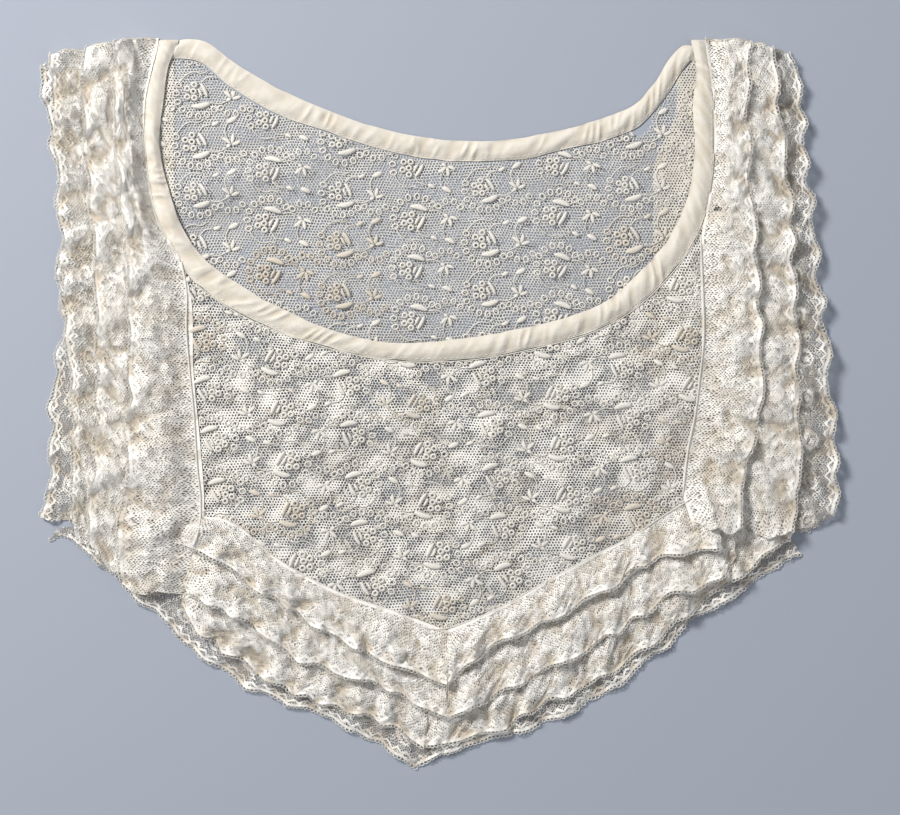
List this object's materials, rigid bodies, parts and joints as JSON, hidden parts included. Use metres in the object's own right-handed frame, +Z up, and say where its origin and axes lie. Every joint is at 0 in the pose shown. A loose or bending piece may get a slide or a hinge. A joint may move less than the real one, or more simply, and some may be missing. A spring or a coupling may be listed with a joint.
{
  "type": "lace collar",
  "caption": "Pull-over lace yoke or collar laid flat and folded at the shoulders, with a scooped bound neck, a V hem and rows of gathered edging lace down its sides and round its hem.",
  "frame": {"origin": "bottom centre of the laid-out collar's box, on the surface it lies on", "axes": "+X to the right as seen from above, across the shoulders; +Y towards the shoulder folds; +Z up, out of the surface"},
  "size_m": [0.3732, 0.342, 0.0141],
  "materials": {
    "net": "fine cream cotton net, matt, embroidered in ivory thread",
    "lace": "warm white cotton edging lace, matt, with a picot edge",
    "binding": "ivory plain-woven bias binding with a faint sheen"
  },
  "bodies": {
    "root": {"back_panel": "net", "neck_binding_back": "binding", "back_side_ruffle_left": "lace", "back_side_ruffle_right": "lace", "back_hem_ruffle_left": "lace", "back_hem_ruffle_right": "lace", "front_panel": "net", "neck_binding_front": "binding", "side_ruffle_left_outer": "lace", "side_ruffle_right_outer": "lace", "side_ruffle_left_middle": "lace", "side_ruffle_left_inner": "lace", "hem_ruffle_left_lower": "lace", "hem_ruffle_right_lower": "lace", "hem_ruffle_left_middle": "lace", "hem_ruffle_right_middle": "lace", "hem_ruffle_left_upper": "lace", "hem_ruffle_right_upper": "lace", "side_ruffle_right_middle": "lace", "side_ruffle_right_inner": "lace"}
  },
  "joints": []
}
